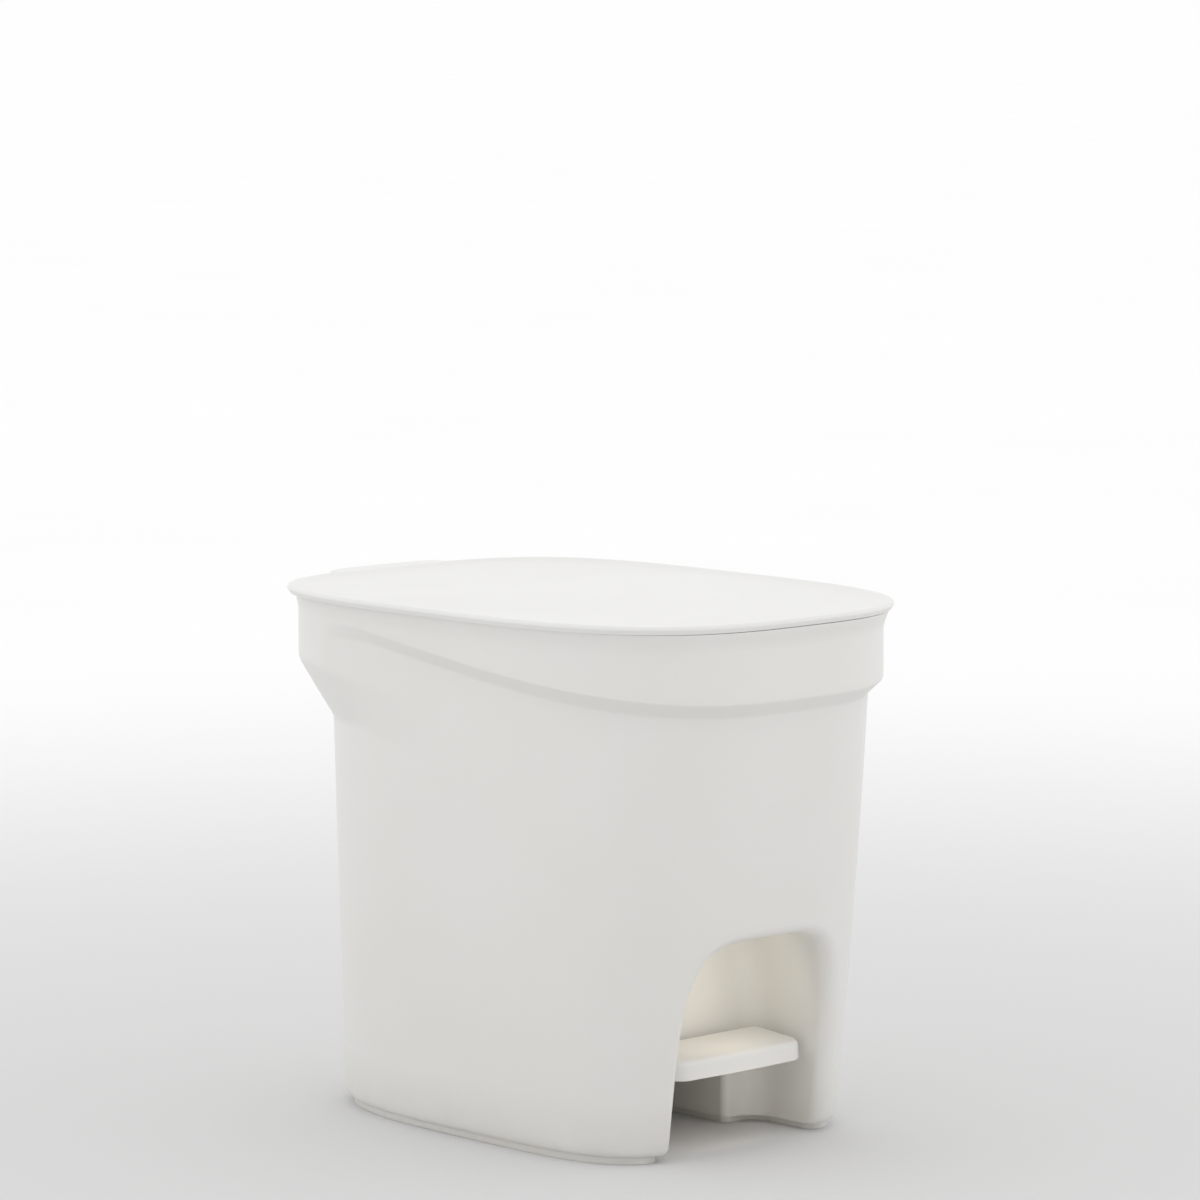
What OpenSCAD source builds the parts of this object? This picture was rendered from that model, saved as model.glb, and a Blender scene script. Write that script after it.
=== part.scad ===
// Pedal bin of about 7 litres: white plastic casing with a toe niche, dished lid on a rear hinge,
// pedal lever in a tunnel under the floor, vertical push rod at the back and a lift-out bucket.
// Millimetres, +Z up, front towards -Y, floor at z = 0, origin under the middle of the bounding box.

/* [Lid] */
// Width of the lid
lid_w = 211.4; // [205:0.2:218]
// Depth of the lid without the hinge tongue
lid_d = 286; // [280:1:292]
// Height of the lid's lip above the floor
lid_z = 250; // [248:0.5:256]
// Thickness of the lid's plate
lid_t = 2; // [1.6:0.1:2.2]
// Depth of the dish below the lip
dish_depth = 2.3; // [1.5:0.1:2.6]
// How far the tongue over the hinge stands out at the back
tongue_out = 10; // [9:0.5:12]
// Width of the tongue
tongue_w = 72; // [70:1:84]

/* [Casing] */
// Wall thickness of the casing
wall = 2.4; // [2:0.1:2.8]
// Height of the standing rim
rim_h = 3; // [2:0.5:4]
// Setback of the standing rim from the body
rim_inset = 3.5; // [3:0.1:5]
// Height of the collar's step at the front
step_z = 212.6; // [208:0.2:218]
// Height of the chamfer under the collar
step_h = 6.5; // [5:0.5:9]
// Top edge of the casing
casing_top = 245.9; // [245:0.1:246]

/* [Niche and tunnel] */
// Half width of the toe niche
niche_half = 46.5; // [45:0.5:50]
// Height of the toe niche
niche_h = 100; // [95:0.5:104]
// Distance of the niche's back wall in front of the outline's centre
niche_back = 61; // [58:0.5:62]
// Half width of the lever tunnel
tunnel_half = 28.5; // [28:0.5:31]
// Height of the tunnel's roof
tunnel_h = 52; // [52:0.5:54]
// Height of the tunnel's mouth in the niche
mouth_h = 44; // [43:0.5:45]

/* [Mechanism] */
// Opening angle of the lid
lid_open = 68; // [60:1:68]
// Diameter of the hinge rod and the push rod
rod_d = 4; // [3.5:0.1:4]
// Diameter of the pedal's axle
axle_d = 5; // [4:0.1:5]
// Width of the tread
tread_w = 85; // [78:1:86]
// Depth of the tread
tread_d = 35.5; // [30:0.5:36]

/* [Bucket] */
// Wall thickness of the bucket
bucket_t = 1.8; // [1.4:0.1:2.2]
// Diameter of the bail's wire
bail_d = 3.6; // [3:0.1:3.8]
// Length of the grip on the bail
grip_l = 80; // [70:1:80]

/* [Hidden] */
$fn = 48;

// Running clearance of a shaft in its hole, on the radius
run = 0.06;
// Steps around a plan outline
around = 72;
cut = 1;

// The plan outlines share one centre, which the tongue puts a little in front of the origin.
centre_y = -tongue_out / 2;

// A plan outline is [half width, front depth, back depth, front power, back power].
lid_plan = [lid_w / 2, lid_d / 2, lid_d / 2, 3.04, 3.6];
collar_plan = [100.3, 139.5, 139.3, 3.04, 3.6];
foot_plan = [83.2, 107.4, 125.4, 4.35, 3.17];
waist_plan = [93.8, 133, 126, 3.05, 3];
foot_z = 8;
waist_z = 205;
flare_z = 239;
flare_front = 2.8;
flare_back = 1.2;
wide_y = 143;

// Bucket outlines are centred on their own middle, in front of the rod's shaft.
bucket_top_plan = [88, 114, 114, 3.2, 3.6];
bucket_low_plan = [78, 101, 101, 3.6, 3.4];
bucket_top_y = -14;
bucket_low_y = -5;
bucket_floor_z = 56;
bucket_top_z = 238;
flange_w = 4;
flange_t = 2;

// Lever mechanism, all in the plane x = 0
hinge_y = 145;
hinge_z = 240;
rod_y = 117;
pivot_y = -8;
pivot_z = 27;
crank_drop = (hinge_y - rod_y) * tan(lid_open / 2);
rod_top_z = hinge_z - crank_drop;
rod_low_z = pivot_z - crank_drop;
rod_r = rod_d / 2;
axle_r = axle_d / 2;
arm_in = 11.5;
arm_t = 3.2;
leg_end = arm_in + arm_t + 2.6;
knuckle_r = 4.2;
knuckle_in = 17;
knuckle_out = 23.6;
hinge_ear_in = 24;
hinge_ear_out = 29;
axle_ear_in = 19.5;
axle_ear_out = 23;
axle_ear_r = 7;

// Tread of the pedal
tread_top = 47.3;
tread_back = -66.5;
tread_drop = 9;
tread_tilt = 4.5;
tread_t = 2.4;
tread_r = 9;
tread_back_r = 6;

// Round corners of the niche in plan, and the power of its arch
niche_r = 14.5;
arch_power = 4.9;

function mix(p, q, t) = p * (1 - t) + q * t;
function shrink(plan, by) = plan - [by, by, by, 0, 0];

// Distance from the centre to a plan outline in direction a, a rounded rectangle of two powers.
function reach(plan, a) =
    let (
        back = sin(a) > 0,
        depth = back ? plan[2] : plan[1],
        power = back ? plan[4] : plan[3]
    )
    pow(pow(abs(cos(a)) / plan[0], power) + pow(abs(sin(a)) / depth, power), -1 / power);

function outline(plan, y0 = 0) = [
    for (i = [0 : around - 1])
        let (a = 360 * i / around, r = reach(plan, a))
        [r * cos(a), y0 + r * sin(a)]
];
function ring(plan, z, y0 = 0) = [for (p = outline(plan, y0)) [p[0], p[1], z]];

// Depth of the collar's outline in direction a, which the sloping features follow.
function run_y(a) = reach(collar_plan, a) * sin(a);

// The collar's step climbs towards the back and fades into the rear bulge.
function step_line(y) =
    let (t = y + collar_plan[1])
    min(step_z + 0.1 * t + 0.00011 * t * t, 236);
step_fade_front = -25;
step_fade_back = 82;
function step_share(y) =
    let (t = (y - step_fade_front) / (step_fade_back - step_fade_front))
    1 - pow(max(0, min(1, t)), 2.5);

// The rear bulge ends in a facet between two lines that fall towards the front.
function bulge_top(y) = 215 - 0.17 * max(0, 90 - y);
function bulge_low(y) = 188 - 0.2 * max(0, 65 - y);
function flare(y) = mix(flare_front, flare_back, (y + wide_y) / (2 * wide_y));

function body_reach(a, z, inset) =
    reach(shrink(mix(foot_plan, waist_plan, (z - foot_z) / (waist_z - foot_z)), inset), a);
function wall_reach(a, z, inset, share) =
    mix(body_reach(a, z, inset), reach(shrink(collar_plan, inset), a), share);

// Levels of the casing's skin in direction a, from the floor edge up, as [reach, height].
function skin(a, inset) =
    let (
        y = run_y(a),
        rest = 1 - step_share(y),
        low = bulge_low(y),
        top = bulge_top(y),
        step = step_line(y)
    )
    [
        [wall_reach(a, foot_z, inset, 0), foot_z],
        [wall_reach(a, 75, inset, 0), 75],
        [wall_reach(a, low, inset, 0), low],
        [wall_reach(a, top, inset, rest), top],
        [wall_reach(a, step - step_h, inset, rest), step - step_h],
        [wall_reach(a, step, inset, 1), step],
        [wall_reach(a, flare_z, inset, 1), flare_z],
        [wall_reach(a, casing_top, inset, 1) + flare(y), casing_top]
    ];
function skin_ring(k, inset, lift = 0) = [
    for (i = [0 : around - 1])
        let (a = 360 * i / around, s = skin(a, inset)[k])
        [s[0] * cos(a), s[0] * sin(a), s[1] + lift]
];
skin_levels = 8;

// Solid between stacked rings of equal length, the lowest first, each anticlockwise from above.
module loft(rings) {
    n = len(rings[0]);
    m = len(rings);
    sides = [
        for (j = [0 : m - 2])
            for (i = [0 : n - 1])
                let (a = j * n + i, b = j * n + (i + 1) % n)
                each [[a, a + n, b + n], [a, b + n, b]]
    ];
    low = [[for (i = [0 : n - 1]) i]];
    top = [[for (i = [n - 1 : -1 : 0]) (m - 1) * n + i]];
    polyhedron(points = [for (r = rings) each r], faces = concat(low, top, sides));
}

// One closed skin for a moulding, so that its fillets and walls stay watertight.
module moulding() {
    resize([0, 0, 0]) children();
}

module in_frame() {
    translate([0, centre_y, 0]) children();
}

// Cylinder along X from x0 to x1 at (y, z)
module bar(r, x0, x1, y, z) {
    translate([x0, y, z]) rotate([0, 90, 0]) cylinder(r = r, h = x1 - x0);
}

// Box between two corners
module block(low, high) {
    translate(low) cube(high - low);
}

module casing_outside() {
    edge = [[3, rim_h], [1.1, rim_h + 1.3]];
    loft(concat(
        [for (e = edge) ring(shrink(foot_plan, e[0]), e[1])],
        [for (k = [0 : skin_levels - 1]) skin_ring(k, 0)]
    ));
}

module casing_inside() {
    floor_top = rim_h + wall;
    loft(concat(
        [ring(shrink(foot_plan, wall), floor_top)],
        [for (k = [0 : skin_levels - 1]) skin_ring(k, wall)],
        [skin_ring(skin_levels - 1, wall, cut)]
    ));
}

// Toe niche: a soft arch in elevation, with round back corners in plan
module niche(grow = 0) {
    half = niche_half + grow;
    high = niche_h + grow;
    side = niche_half - niche_r;
    arch = [
        for (i = [0 : 32])
            let (x = half * cos(180 * i / 32))
            [x, high * pow(1 - pow(abs(x) / half, arch_power), 1 / arch_power)]
    ];
    intersection() {
        translate([0, -niche_back + grow, 0])
            rotate([90, 0, 0])
                linear_extrude(120) polygon(concat([[-half, -cut], [half, -cut]], arch));
        translate([0, 0, -cut])
            linear_extrude(niche_h + 10) hull() {
                for (s = [-1, 1]) {
                    translate([s * side, -niche_back - niche_r]) circle(niche_r + grow);
                    translate([s * side, -200]) circle(niche_r + grow);
                }
            }
    }
}

tunnel_end = foot_plan[2] - wall - 0.6;
module tunnel(grow = 0) {
    half = tunnel_half + grow;
    block([-half, -niche_back - cut, -cut], [half, tunnel_end, tunnel_h + grow]);
}

// The niche's back wall carries on down to the mouth of the tunnel.
module tunnel_hollow() {
    intersection() {
        tunnel();
        union() {
            block([-60, -niche_back + wall, -2], [60, 200, 100]);
            block([-60, -niche_back - 2 * cut, -2], [60, -niche_back + wall + cut, mouth_h]);
        }
    }
}

// The standing rim follows the body, the niche and the tunnel
module foot_region(inset) {
    difference() {
        polygon(outline(shrink(foot_plan, inset)));
        offset(delta = inset - 0.9) projection(cut = true) translate([0, 0, -1]) {
            niche();
            tunnel();
        }
    }
}

module standing_rim() {
    linear_extrude(rim_h + 0.5) difference() {
        foot_region(rim_inset);
        foot_region(rim_inset + wall);
    }
}

// Two ribs under the bucket's floor
bucket_rest_x = 58;
bucket_rest_y = [-35, 75];
rod_hole_play = 2;
module casing_shell() {
    difference() {
        casing_outside();
        difference() {
            casing_inside();
            niche(wall);
            tunnel(wall);
        }
        niche();
        tunnel_hollow();
        translate([0, rod_y, tunnel_h - cut]) cylinder(r = rod_r + rod_hole_play, h = 10);
    }
    standing_rim();
    for (s = [-1, 1])
        block(
            [s * bucket_rest_x - wall / 2, bucket_rest_y[0], rim_h + 1],
            [s * bucket_rest_x + wall / 2, bucket_rest_y[1], bucket_floor_z]
        );
}

// Ears at the back for the hinge rod, rooted in the collar's wall
hinge_root_y = 137.6;
module hinge_ears() {
    for (s = [-1, 1]) {
        x0 = s > 0 ? hinge_ear_in : -hinge_ear_out;
        x1 = x0 + hinge_ear_out - hinge_ear_in;
        bar(knuckle_r, x0, x1, hinge_y, hinge_z);
        block([x0, hinge_root_y, hinge_z - knuckle_r], [x1, hinge_y, hinge_z + knuckle_r - 0.2]);
    }
}

// Ears under the tunnel's roof for the pedal's axle
module axle_ears() {
    for (s = [-1, 1]) {
        x0 = s > 0 ? axle_ear_in : -axle_ear_out;
        x1 = x0 + axle_ear_out - axle_ear_in;
        bar(axle_ear_r, x0, x1, pivot_y, pivot_z);
        block([x0, pivot_y - axle_ear_r, pivot_z], [x1, pivot_y + axle_ear_r, tunnel_h + 1]);
    }
}

module casing() {
    color("white") in_frame() difference() {
        union() {
            moulding() casing_shell();
            hinge_ears();
            axle_ears();
        }
        bar(rod_r + run, -40, 40, hinge_y, hinge_z);
        bar(axle_r + run, -25, 25, pivot_y, pivot_z);
    }
}

// Lid: a dish with a rolled lip, a locating skirt and the tongue over the hinge.
// The edge leans in to the casing's flared top, most at the back, where the flare is least.
// Inside the skirt the plate is thicker downwards, into the casing's mouth.
lid_edge_h = 3.5;
lid_seat_plan = collar_plan + [2.2, 2.7, 1.4, 0, 0];
skirt_gap = 2.5;
skirt_t = 1.4;
skirt_low = 240.5;
skirt_open_half = 60;
skirt_plan = shrink(collar_plan, wall + skirt_gap);
dish_z = lid_z - dish_depth;
plate_under = dish_z - lid_t;
module lid_plate() {
    lip = lid_z;
    difference() {
        union() {
            loft([
                ring(lid_seat_plan, lip - lid_edge_h),
                ring(shrink(lid_plan, 0.6), lip - 2),
                ring(lid_plan, lip - 1.2),
                ring(shrink(lid_plan, 0.5), lip - 0.4),
                ring(shrink(lid_plan, 1.8), lip)
            ]);
            loft([ring(skirt_plan, plate_under), ring(skirt_plan, dish_z - 0.5)]);
        }
        loft([
            ring(shrink(lid_plan, 9), dish_z),
            ring(shrink(lid_plan, 5.5), dish_z + 0.5),
            ring(shrink(lid_plan, 2.6), lip),
            ring(shrink(lid_plan, 2.6), lip + cut)
        ]);
    }
    lid_skirt();
    lid_tongue();
}

module lid_skirt() {
    inside = shrink(skirt_plan, skirt_t);
    difference() {
        loft([ring(skirt_plan, skirt_low), ring(skirt_plan, dish_z - 0.5)]);
        loft([ring(inside, skirt_low - cut), ring(inside, plate_under)]);
        block([-skirt_open_half, 100, skirt_low - cut], [skirt_open_half, 150, plate_under]);
    }
}

module lid_tongue() {
    half = tongue_w / 2;
    rear = lid_plan[2] + tongue_out;
    low = lid_z - 3.6;
    thick = 3.1;
    rear_r = 4;
    root_r = 1.5;
    root_y = 138;
    hull() {
        for (s = [-1, 1]) {
            translate([s * (half - 7), rear - rear_r, low]) cylinder(r = rear_r, h = thick, $fn = 32);
            translate([s * (half - root_r), root_y, low]) cylinder(r = root_r, h = thick, $fn = 32);
        }
    }
}

// Knuckles that hang from the tongue around the hinge rod
module lid_knuckles() {
    for (s = [-1, 1]) {
        x0 = s > 0 ? knuckle_in : -knuckle_out;
        bar(knuckle_r, x0, x0 + knuckle_out - knuckle_in, hinge_y, hinge_z);
        block(
            [x0, hinge_y - 2.6, hinge_z],
            [x0 + knuckle_out - knuckle_in, hinge_y + 2.6, lid_z - 3]
        );
    }
}

// Crank lug inside the casing: the rod's upper leg rides in its slot
crank_slot_r = rod_r + 0.95;
module crank_lug() {
    far = (hinge_y - rod_y) / cos(lid_open / 2);
    near = hinge_y - rod_y;
    x1 = arm_in + arm_t;
    difference() {
        union() {
            bar(crank_slot_r + 3, arm_in, x1, rod_y, rod_top_z);
            translate([arm_in, 0, 0]) rotate([90, 0, 90]) linear_extrude(arm_t) polygon([
                [rod_y - crank_slot_r - 3, rod_top_z],
                [rod_y + crank_slot_r + 2, rod_top_z - 2.4],
                [rod_y + 13, plate_under + 0.6],
                [rod_y - 12, plate_under + 0.6]
            ]);
        }
        translate([arm_in - cut, hinge_y, hinge_z]) rotate([lid_open / 2, 0, 0]) {
            for (r = [near, far])
                translate([0, -r, 0]) rotate([0, 90, 0]) cylinder(r = crank_slot_r, h = arm_t + 2 * cut);
            translate([0, -far, -crank_slot_r]) cube([arm_t + 2 * cut, far - near, 2 * crank_slot_r]);
        }
    }
}

module lid() {
    color("white") in_frame() difference() {
        union() {
            moulding() lid_plate();
            lid_knuckles();
            crank_lug();
        }
        bar(rod_r + run, -40, 40, hinge_y, hinge_z);
    }
}

hinge_rod_half = hinge_ear_out + 3;
module hinge_rod() {
    color("silver") in_frame() bar(rod_r, -hinge_rod_half, hinge_rod_half, hinge_y, hinge_z);
}

// Dished push-on cap on a shaft's end, from x0 outwards on the side s
cap_gap = 0.3;
rod_cap_gap = 0.4;
cap_flange = 1.9;
cap_dome = 1;
cap_grip = 0.03;
module push_cap(shaft_r, s, x0, y, z) {
    cap_t = 1.6;
    translate([s * x0, y, z]) rotate([0, s * 90, 0]) difference() {
        union() {
            cylinder(r = shaft_r + cap_flange, h = cap_t / 2);
            cylinder(r = shaft_r + cap_dome, h = cap_t);
        }
        translate([0, 0, -cut]) cylinder(r = shaft_r - cap_grip, h = cap_t + 2 * cut);
    }
}

module hinge_cap_left() {
    color("silver") in_frame() push_cap(rod_r, -1, hinge_ear_out + cap_gap, hinge_y, hinge_z);
}

module hinge_cap_right() {
    color("silver") in_frame() push_cap(rod_r, 1, hinge_ear_out + cap_gap, hinge_y, hinge_z);
}

// Tread: a plate with a skirt around it, seen from above as a rectangle with round corners
module tread_outline(inset) {
    half = tread_w / 2;
    hull() {
        for (s = [-1, 1]) {
            translate([s * (half - tread_r), tread_r - tread_d]) circle(tread_r - inset);
            translate([s * (half - tread_back_r), -tread_back_r]) circle(tread_back_r - inset);
        }
    }
}

module tread() {
    translate([0, tread_back, tread_top]) rotate([tread_tilt, 0, 0]) difference() {
        translate([0, 0, -tread_drop]) linear_extrude(tread_drop) tread_outline(0);
        translate([0, 0, -tread_drop - cut])
            linear_extrude(tread_drop + cut - tread_t) tread_outline(tread_t);
    }
}

// Side arm of the lever, from the tread's underside over the axle to the rod's eye
hub_r = 7.5;
module arm(x0) {
    eye_r = rod_r + 2.4;
    translate([x0, 0, 0]) rotate([90, 0, 90]) linear_extrude(arm_t) polygon([
        [-97, tread_top - 4.3],
        [-97, 38],
        [-72, 31],
        [pivot_y, pivot_z - hub_r],
        [rod_y, rod_low_z - eye_r],
        [rod_y, rod_low_z + eye_r],
        [pivot_y, pivot_z + hub_r],
        [-62, 39.5],
        [-69, tread_top - 1.5]
    ]);
    bar(hub_r, x0, x0 + arm_t, pivot_y, pivot_z);
    bar(eye_r, x0, x0 + arm_t, rod_y, rod_low_z);
}

// The eye is a little long, because it swings while the rod only rises.
eye_play = 0.4;
tie_half = arm_in + 0.5;
tie_t = 3;

// Cross ties between the lever's arms, each as [y, bottom, height]
front_tie = [pivot_y + 12, 13, 11];
rear_tie = [70, 9, 9];
pedal_half_angle = atan(crank_drop / (rod_y - pivot_y));
module pedal() {
    swing = (rod_y - pivot_y) / cos(pedal_half_angle) - (rod_y - pivot_y);
    eye_hole = rod_r + eye_play;
    eye_in = arm_in - cut;
    eye_out = arm_in + arm_t + cut;
    color("white") in_frame() difference() {
        union() {
            tread();
            arm(arm_in);
            arm(-arm_in - arm_t);
            for (tie = [front_tie, rear_tie])
                block([-tie_half, tie[0], tie[1]], [tie_half, tie[0] + tie_t, tie[1] + tie[2]]);
            bar(axle_r + 2.5, -tie_half, tie_half, pivot_y, pivot_z);
        }
        bar(axle_r + run, -30, 30, pivot_y, pivot_z);
        for (play = [-swing, 0])
            bar(eye_hole, eye_in, eye_out, rod_y + play, rod_low_z);
        block([eye_in, rod_y - swing, rod_low_z - eye_hole], [eye_out, rod_y, rod_low_z + eye_hole]);
    }
}

axle_half = axle_ear_out + 3;
module pedal_axle() {
    color("silver") in_frame() bar(axle_r, -axle_half, axle_half, pivot_y, pivot_z);
}

module axle_clip_left() {
    color("silver") in_frame() push_cap(axle_r, -1, axle_ear_out + cap_gap, pivot_y, pivot_z);
}

module axle_clip_right() {
    color("silver") in_frame() push_cap(axle_r, 1, axle_ear_out + cap_gap, pivot_y, pivot_z);
}

// Push rod: a straight shaft with a bent leg at each end, both towards +X
module push_rod() {
    bend = rod_r + 2;
    lap = 0.3;
    shaft = rod_top_z - rod_low_z - 2 * (bend - lap);
    color("silver") in_frame() translate([0, rod_y, 0]) {
        translate([0, 0, rod_low_z + bend - lap]) cylinder(r = rod_r, h = shaft);
        for (end = [0, 1])
            translate([0, 0, end ? rod_top_z : rod_low_z]) mirror([0, 0, end]) {
                translate([bend, 0, bend]) rotate([90, 180, 0]) rotate_extrude(angle = 90)
                    translate([bend, 0]) circle(rod_r + 0.05);
                translate([bend - lap, 0, 0]) rotate([0, 90, 0])
                    cylinder(r = rod_r, h = leg_end - bend + lap);
            }
    }
}

module rod_clip_top() {
    color("silver") in_frame() push_cap(rod_r, 1, arm_in + arm_t + rod_cap_gap, rod_y, rod_top_z);
}

module rod_clip_bottom() {
    color("silver") in_frame() push_cap(rod_r, 1, arm_in + arm_t + rod_cap_gap, rod_y, rod_low_z);
}

// Bucket: tapers downwards, steps back over the niche and stands on the tunnel inside the casing
bucket_clear = 3;
bucket_corner = 3;
function bucket_part(z) = (z - bucket_floor_z) / (bucket_top_z - bucket_floor_z);
function bucket_ring(inset, z, at) =
    ring(
        shrink(mix(bucket_low_plan, bucket_top_plan, bucket_part(at)), inset),
        z,
        mix(bucket_low_y, bucket_top_y, bucket_part(at))
    );
module bucket_outside() {
    under = bucket_top_z - flange_t;
    knee = bucket_floor_z + bucket_corner;
    difference() {
        loft([
            bucket_ring(bucket_corner, bucket_floor_z, bucket_floor_z),
            bucket_ring(0, knee, knee),
            bucket_ring(0, under, under),
            bucket_ring(-flange_w, under, bucket_top_z),
            bucket_ring(-flange_w, bucket_top_z, bucket_top_z)
        ]);
        niche(wall + bucket_clear);
    }
}

module bucket_inside() {
    low = bucket_floor_z + bucket_t;
    knee = low + bucket_corner;
    difference() {
        loft([
            bucket_ring(bucket_t + bucket_corner, low, low),
            bucket_ring(bucket_t, knee, knee),
            bucket_ring(bucket_t, bucket_top_z + cut, bucket_top_z)
        ]);
        niche(wall + bucket_clear + bucket_t);
    }
}

// Ears on the bucket's rim that carry the bail
bail_z = bucket_top_z + 3.3;
bail_r = bail_d / 2;
bail_half = 90.6;
ear_x = 86.5;
bail_ear_t = 2;
bail_ear_r = 3.6;
module bail_ears() {
    for (s = [-1, 1]) {
        x0 = s > 0 ? ear_x : -ear_x - bail_ear_t;
        block(
            [x0, bucket_top_y - bail_ear_r, bucket_top_z - flange_t / 2],
            [x0 + bail_ear_t, bucket_top_y + bail_ear_r, bail_z]
        );
        bar(bail_ear_r, x0, x0 + bail_ear_t, bucket_top_y, bail_z);
    }
}

module bucket() {
    color("gainsboro") in_frame() difference() {
        union() {
            moulding() difference() {
                bucket_outside();
                bucket_inside();
            }
            bail_ears();
        }
        bar(bail_r + run, -95, 95, bucket_top_y, bail_z);
    }
}

// Bail folded forwards along the rim: half a rim outline between two inward stubs
bail_front = 110.8;
bail_plan = [bail_half, bail_front + 7.5, bail_front, 2.7, 3];
function bail_point(a) =
    let (r = reach(bail_plan, a))
    [r * cos(a), max(r * sin(a), -bail_front)];
module bail() {
    arc_steps = 36;
    sides = 10;
    path = [for (i = [0 : arc_steps]) bail_point(180 + 180 * i / arc_steps)];
    function heading(i) =
        let (p = path[max(0, i - 1)], q = path[min(arc_steps, i + 1)])
        atan2(q[1] - p[1], q[0] - p[0]);
    rings = [
        for (i = [0 : arc_steps])
            [
                for (k = [0 : sides - 1])
                    let (h = heading(i), u = 360 * k / sides, w = bail_r * cos(u))
                    [path[i][0] - w * sin(h), path[i][1] + w * cos(h), bail_r * sin(u)]
            ]
    ];
    color("silver") in_frame() translate([0, bucket_top_y, bail_z]) {
        loft(rings);
        for (s = [-1, 1])
            bar(bail_r, s > 0 ? ear_x - 1.5 : -bail_half, s > 0 ? bail_half : -ear_x + 1.5, 0, 0);
    }
}

module bail_grip() {
    color("white") in_frame() translate([0, bucket_top_y - bail_front, bail_z])
        rotate([0, 90, 0]) translate([0, 0, -grip_l / 2]) difference() {
            cylinder(r = bail_r + 1.4, h = grip_l);
            translate([0, 0, -cut]) cylinder(r = bail_r + 0.1, h = grip_l + 2 * cut);
        }
}

casing();
lid();
hinge_rod();
hinge_cap_left();
hinge_cap_right();
pedal();
pedal_axle();
axle_clip_left();
axle_clip_right();
push_rod();
rod_clip_top();
rod_clip_bottom();
bucket();
bail();
bail_grip();
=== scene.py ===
"""Looks of the pedal bin: moulded white plastic skins, the wire bail and the steel rods.

Every outline is a polar superellipse in millimetres about the plan centre, as in the CAD, and
`place` turns it into the frame's metres. Closed skins are swept ring by ring, so that each edge
gets its own radius, and the hollow of a moulding is cut out of its skin afterwards.
"""

import math

import bmesh
import bpy
import numpy as np
from mathutils import Matrix, Vector


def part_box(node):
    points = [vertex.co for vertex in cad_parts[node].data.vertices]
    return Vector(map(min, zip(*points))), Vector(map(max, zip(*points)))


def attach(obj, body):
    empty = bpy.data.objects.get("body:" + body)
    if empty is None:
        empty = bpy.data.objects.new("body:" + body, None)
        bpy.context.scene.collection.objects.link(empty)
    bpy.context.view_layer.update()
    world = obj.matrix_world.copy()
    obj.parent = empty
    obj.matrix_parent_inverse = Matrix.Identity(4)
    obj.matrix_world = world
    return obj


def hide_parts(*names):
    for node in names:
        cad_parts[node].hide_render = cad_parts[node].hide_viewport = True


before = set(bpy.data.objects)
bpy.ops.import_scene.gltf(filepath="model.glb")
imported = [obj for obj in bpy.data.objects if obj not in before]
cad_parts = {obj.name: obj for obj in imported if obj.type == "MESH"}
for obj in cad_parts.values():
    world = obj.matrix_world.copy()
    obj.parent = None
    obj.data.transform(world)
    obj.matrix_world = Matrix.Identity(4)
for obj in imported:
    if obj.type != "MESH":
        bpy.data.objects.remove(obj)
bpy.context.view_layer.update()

MM = 0.001
CASING_HIGH, PEDAL_HIGH, GRIP_HIGH = (
    np.array(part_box(node)[1]) / MM for node in ("casing", "pedal", "bail_grip")
)
LID_LOW, LID_HIGH = (np.array(v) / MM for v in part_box("lid"))

# Plan outlines: [half width, front depth, back depth, front power, back power]
LID = np.array([LID_HIGH[0], 143, 143, 3.04, 3.6])
COLLAR = np.array([100.3, 139.5, 139.3, 3.04, 3.6])
FOOT = np.array([83.2, 107.4, 125.4, 4.35, 3.17])
WAIST = np.array([93.8, 133, 126, 3.05, 3])
CENTRE_Y = LID_LOW[1] + LID[1]
FOOT_Z, WAIST_Z = 8, 205
WALL = 2.4

# Casing
TOP_Z = CASING_HIGH[2]
FLARE_Z, FLARE_FRONT, FLARE_BACK = 239, 2.8, 1.2
STEP_Z, STEP_H = 212.6, 6.5
STEP_RISE, STEP_CURVE, STEP_TOP = 0.1, 0.00011, 236
STEP_FADE_FRONT, STEP_FADE_BACK, STEP_FADE_POWER = -25, 82, 2.5
UNDER_Z, EDGE_Z, EDGE_IN = 3.4, 10, 3.5
INNER_Z = 225

# Lines of the rear bulge's facet: [height at the back, fall per mm, where the fall begins]
BULGE_TOP = (215, 0.17, 90)
BULGE_LOW = (188, 0.2, 65)

# Toe niche and lever tunnel
NICHE_HALF, NICHE_BACK = 46.5, -61
NICHE_R, NICHE_TOP_R = 14.5, 12
NICHE_EDGE_R, NICHE_EDGE_TOP_R, NICHE_CUT_R = 9.5, 5, 9.4
MOUTH_HALF, MOUTH_R, MOUTH_TOP_R = 28.5, 4, 1.2
TUNNEL_HALF, TUNNEL_H, TUNNEL_END = 29, 52, 122.4
RIM_OUT, RIM_W, RIM_NEAR = 0.1, 2.2, 0.9

# Their arches: [height of the corners, half width, height, power]
NICHE_ARCH = (84, NICHE_HALF, 100, 4.9)
MOUTH_ARCH = (41, MOUTH_HALF, 44, 10)
TUNNEL_ARCH = (49.5, TUNNEL_HALF, TUNNEL_H, 14)

# Lid
LIP_Z = LID_HIGH[2]
SEAT_Z = LIP_Z - 3.95
TONGUE_OUT, TONGUE_HALF = 10, 36

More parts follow.
